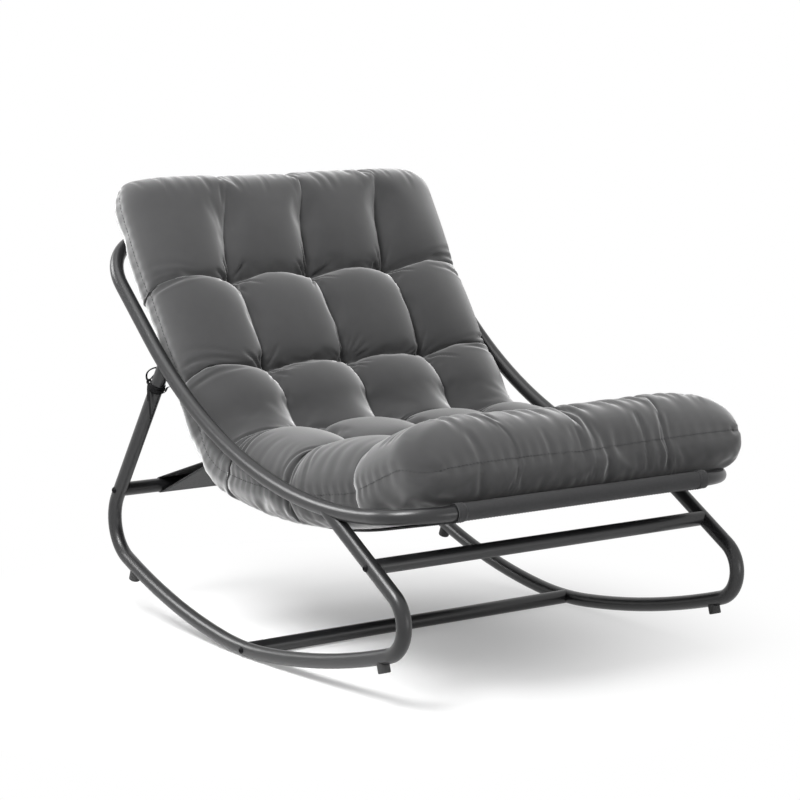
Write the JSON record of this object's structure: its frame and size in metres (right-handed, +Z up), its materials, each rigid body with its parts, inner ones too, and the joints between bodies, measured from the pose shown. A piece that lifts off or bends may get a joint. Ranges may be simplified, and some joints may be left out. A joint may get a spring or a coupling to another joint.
{
  "type": "rocking lounge chair",
  "caption": "Low rocking lounge chair: a bent steel-tube loop on two curved rockers carries a cloth sling and one thick tufted cushion that rolls over the front edge.",
  "frame": {"origin": "on the floor, at the middle of the chair's box; the rockers touch the floor 18.6 mm in front of it", "axes": "+Z up; -Y the way the sitter faces; +X to the sitter's left, so the right-hand side frame is at -X"},
  "size_m": [0.7612, 0.9871, 0.7873],
  "materials": {
    "frame_paint": "satin charcoal powder coat",
    "plug_steel": "plain turned steel, hidden in the bars",
    "black_fasteners": "black oxide",
    "stop_rubber": "matt moulded rubber",
    "sling_cloth": "plain woven dark grey cloth",
    "cushion_velvet": "dark grey short-pile velvet with a soft sheen",
    "filling_fibre": "white polyester fibre, hidden in the cover",
    "tie_tape": "narrow woven black tape"
  },
  "bodies": {
    "root": {"right_seat_rail": "frame_paint", "left_seat_rail": "frame_paint", "front_seat_tube": "frame_paint", "top_seat_tube": "frame_paint", "right_rocker": "frame_paint", "left_rocker": "frame_paint", "front_cross_bar": "frame_paint", "front_bar_end_plugs": "plug_steel", "front_bar_bolts": "black_fasteners", "base_cross_bar": "frame_paint", "base_bar_end_plugs": "plug_steel", "base_bar_bolts": "black_fasteners", "rear_cross_bar": "frame_paint", "rear_bar_end_plugs": "plug_steel", "rear_bar_bolts": "black_fasteners", "right_front_stop": "stop_rubber", "left_front_stop": "stop_rubber", "right_rear_stop": "stop_rubber", "left_rear_stop": "stop_rubber", "stop_screws": "black_fasteners", "seat_sling": "sling_cloth", "sling_tie_down": "sling_cloth", "cushion": "cushion_velvet", "cushion_seat_filling": "filling_fibre", "cushion_back_filling": "filling_fibre", "right_cushion_tie": "tie_tape", "left_cushion_tie": "tie_tape"}
  },
  "joints": []
}
